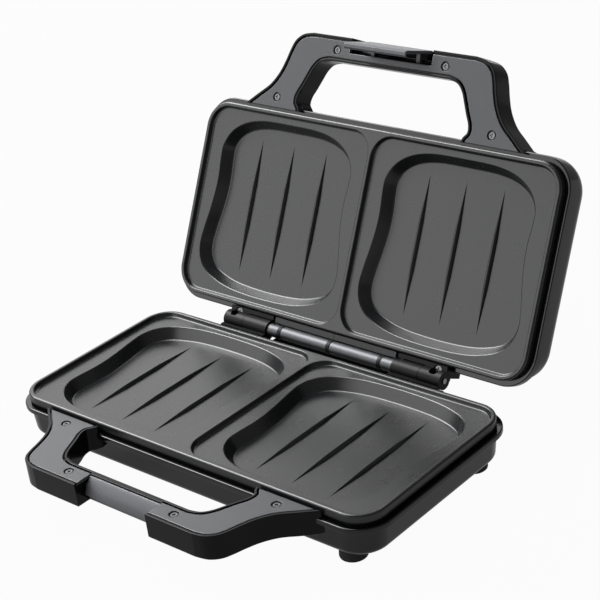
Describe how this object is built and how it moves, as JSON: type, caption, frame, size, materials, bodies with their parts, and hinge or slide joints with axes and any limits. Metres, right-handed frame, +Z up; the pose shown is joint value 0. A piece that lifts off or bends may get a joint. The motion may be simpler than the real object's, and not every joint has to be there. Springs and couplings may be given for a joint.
{
  "type": "sandwich toaster",
  "caption": "Countertop sandwich toaster with a hinged lid, deep ribbed bread pockets, loop handles and a sprung clip latch.",
  "frame": {"origin": "centre of the overall box in plan, on the surface the feet stand on, with the lid fully open", "axes": "+X along the hinge, +Y from the front handle towards the hinge and the back, +Z up"},
  "size_m": [0.297, 0.3046, 0.2163],
  "materials": {
    "housing_gloss_black": "moulded black phenolic plastic, glossy",
    "nonstick_aluminium": "die-cast aluminium with a dark grey non-stick coating, satin",
    "element_steel": "drawn stainless sheath, heat-tinted",
    "steel_zinc": "zinc-plated steel",
    "reflector_steel": "bright rolled steel sheet",
    "handle_gloss_black": "moulded black plastic, glossy",
    "cover_satin_grey": "satin dark grey plastic",
    "latch_grey": "satin mid grey plastic",
    "rubber_black": "moulded black rubber, matt",
    "sleeve_steel": "bright drawn steel tube",
    "ceramic_white": "glazed ceramic and glass-fibre, off-white",
    "terminal_white": "moulded white nylon",
    "wire_sleeve": "braided glass-fibre sleeve, off-white",
    "reflector_aluminium": "bright rolled aluminium sheet",
    "leaf_steel": "phosphated steel sheet",
    "lens_red": "clear red and green tinted lens",
    "lamp_glass": "clear neon lamp glass",
    "spring_steel": "hard-drawn spring wire"
  },
  "bodies": {
    "base": {"base_housing": "housing_gloss_black", "lower_plate": "nonstick_aluminium", "lower_heating_element": "element_steel", "lower_element_clips": "steel_zinc", "lower_reflector": "reflector_steel", "lower_plate_screws": "steel_zinc", "lower_handle": "handle_gloss_black", "lower_handle_covers": "cover_satin_grey", "lower_handle_screws": "steel_zinc", "latch_catch": "latch_grey", "rubber_feet": "rubber_black", "base_hinge_brackets": "handle_gloss_black", "base_bracket_screws": "steel_zinc", "hinge_pin": "steel_zinc", "hinge_spacers": "rubber_black", "hinge_end_bushes": "sleeve_steel", "thermostat": "ceramic_white", "thermostat_clip": "steel_zinc", "thermal_fuse": "ceramic_white", "terminal_block": "terminal_white", "internal_wires": "wire_sleeve", "cord_gland": "rubber_black"},
    "lid": {"lid_housing": "housing_gloss_black", "upper_plate": "nonstick_aluminium", "upper_heating_element": "element_steel", "upper_element_clips": "steel_zinc", "upper_reflector": "reflector_aluminium", "upper_plate_screws": "steel_zinc", "upper_handle": "handle_gloss_black", "upper_handle_cover": "cover_satin_grey", "upper_handle_screws": "steel_zinc", "lid_hinge_brackets": "handle_gloss_black", "lid_bracket_screws": "steel_zinc", "hinge_sleeves": "sleeve_steel", "lid_hinge_leaf": "leaf_steel", "lamp_lenses": "lens_red", "indicator_lamps": "lamp_glass", "lid_wires": "wire_sleeve", "latch_pin": "steel_zinc", "latch_spring": "spring_steel"},
    "latch": {"latch": "latch_grey"}
  },
  "joints": [
    {"name": "lid_hinge", "type": "hinge", "parent": "base", "child": "lid", "pos_m": [0, 0.04617, 0.0365], "axis": [1, 0, 0], "range_deg": [0, 117]},
    {"name": "latch_pivot", "type": "hinge", "parent": "lid", "child": "latch", "pos_m": [0, 0.14246, 0.20124], "axis": [-1, 0, 0], "range_deg": [0, 16], "stiffness_Nm_per_rad": 0.06, "springref_deg": -22.92}
  ]
}
